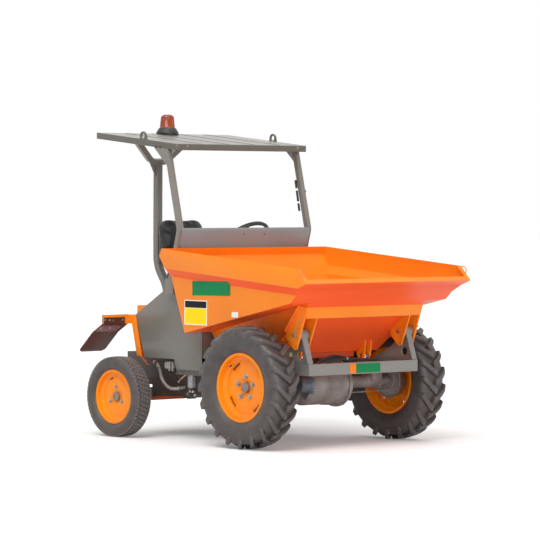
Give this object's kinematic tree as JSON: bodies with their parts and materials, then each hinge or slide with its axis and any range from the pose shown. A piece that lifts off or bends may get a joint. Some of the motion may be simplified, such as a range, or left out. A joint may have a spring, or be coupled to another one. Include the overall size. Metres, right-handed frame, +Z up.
{
  "type": "site dumper",
  "caption": "Two-axle site dumper with a forward-tipping skip on a grey frame, rear-wheel steering, an operator seat under a canopy and an amber beacon.",
  "frame": {"origin": "on the ground, under the middle of the bounding box", "axes": "+X forward, the way the skip tips; +Y to the left; +Z up"},
  "size_m": [2.315, 1.57, 2.1998],
  "materials": {
    "skip_paint": "semi-gloss orange paint",
    "wheel_paint": "semi-gloss orange paint",
    "frame_paint": "satin grey paint",
    "axle_paint": "satin dark grey paint over castings",
    "engine_iron": "matt black",
    "black_paint": "satin black paint",
    "steel": "machined",
    "chrome": "polished",
    "tyre": "matt rubber",
    "rubber": "matt dark brown rubber sheet",
    "black_plastic": "matt",
    "amber_lens": "clear amber moulding",
    "seat_vinyl": "black vinyl over foam"
  },
  "bodies": {
    "machine": {"pivot_pins": "steel", "side_panel_left": "frame_paint", "side_panel_right": "frame_paint", "front_frame": "frame_paint", "drive_axle": "axle_paint", "chassis": "frame_paint", "rear_axle": "axle_paint", "engine": "engine_iron", "transmission": "engine_iron", "tanks": "black_paint", "engine_cover": "skip_paint", "rear_wings": "skip_paint", "bulkhead": "frame_paint", "mudflaps": "rubber", "rops_frame": "frame_paint", "roof": "frame_paint", "rear_post": "frame_paint", "beacon_base": "black_plastic", "beacon_lens": "amber_lens", "seat_base": "black_paint", "seat_pads": "seat_vinyl", "steering_column": "black_paint", "control_levers": "steel", "tow_hitch": "black_paint"},
    "skip": {"skip_shell": "skip_paint", "skip_brackets": "skip_paint"},
    "front_wheel_left": {"front_tyre_left": "tyre", "front_rim_left": "wheel_paint", "front_hub_left": "axle_paint"},
    "front_wheel_right": {"front_tyre_right": "tyre", "front_rim_right": "wheel_paint", "front_hub_right": "axle_paint"},
    "knuckle_left": {"knuckle_left": "axle_paint"},
    "knuckle_right": {"knuckle_right": "axle_paint"},
    "rear_wheel_left": {"rear_tyre_left": "tyre", "rear_rim_left": "wheel_paint", "rear_hub_left": "axle_paint"},
    "rear_wheel_right": {"rear_tyre_right": "tyre", "rear_rim_right": "wheel_paint", "rear_hub_right": "axle_paint"},
    "tie_rod": {"tie_rod": "steel"},
    "steering_wheel": {"steering_wheel": "black_plastic"},
    "tip_barrels": {"tip_barrel": "black_paint"},
    "tip_rods": {"tip_rod": "chrome"}
  },
  "joints": [
    {"name": "skip_tip", "type": "hinge", "parent": "machine", "child": "skip", "pos_m": [0.8215, 0, 0.745], "axis": [0, 1, 0], "range_deg": [0, 75]},
    {"name": "tip_barrel_swing", "type": "hinge", "parent": "machine", "child": "tip_barrels", "pos_m": [0.2015, 0, 0.468], "axis": [0, 1, 0], "range_deg": [-36, 0]},
    {"name": "tip_rod_slide", "type": "slide", "parent": "tip_barrels", "child": "tip_rods", "axis": [0.967, 0, 0.2548], "range_m": [0, 0.19]},
    {"name": "front_wheel_spin_left", "type": "hinge", "parent": "machine", "child": "front_wheel_left", "pos_m": [0.5365, 0.675, 0.4], "axis": [0, 1, 0], "continuous": true},
    {"name": "front_wheel_spin_right", "type": "hinge", "parent": "machine", "child": "front_wheel_right", "pos_m": [0.5365, -0.675, 0.4], "axis": [0, 1, 0], "continuous": true},
    {"name": "steer_left", "type": "hinge", "parent": "machine", "child": "knuckle_left", "pos_m": [-0.8085, 0.555, 0.273], "axis": [0, 0, 1], "range_deg": [-30, 30]},
    {"name": "steer_right", "type": "hinge", "parent": "machine", "child": "knuckle_right", "pos_m": [-0.8085, -0.555, 0.273], "axis": [0, 0, 1], "range_deg": [-30, 30]},
    {"name": "tie_rod_slide", "type": "slide", "parent": "machine", "child": "tie_rod", "axis": [0, 1, 0], "range_m": [-0.058, 0.058]},
    {"name": "rear_wheel_spin_left", "type": "hinge", "parent": "knuckle_left", "child": "rear_wheel_left", "pos_m": [-0.8085, 0.63, 0.273], "axis": [0, 1, 0], "continuous": true},
    {"name": "rear_wheel_spin_right", "type": "hinge", "parent": "knuckle_right", "child": "rear_wheel_right", "pos_m": [-0.8085, -0.63, 0.273], "axis": [0, 1, 0], "continuous": true},
    {"name": "steering_wheel_spin", "type": "hinge", "parent": "machine", "child": "steering_wheel", "pos_m": [-0.4535, 0.2, 1.34], "axis": [-0.6428, 0, 0.766], "continuous": true}
  ],
  "couplings": [
    {"joint": "steer_right", "follows": "steer_left", "ratio": 1},
    {"joint": "tie_rod_slide", "follows": "steer_left", "m_per_rad": -0.107},
    {"joint": "tip_barrel_swing", "follows": "skip_tip", "ratio": -0.4146},
    {"joint": "tip_rod_slide", "follows": "skip_tip", "m_per_rad": 0.1142}
  ]
}
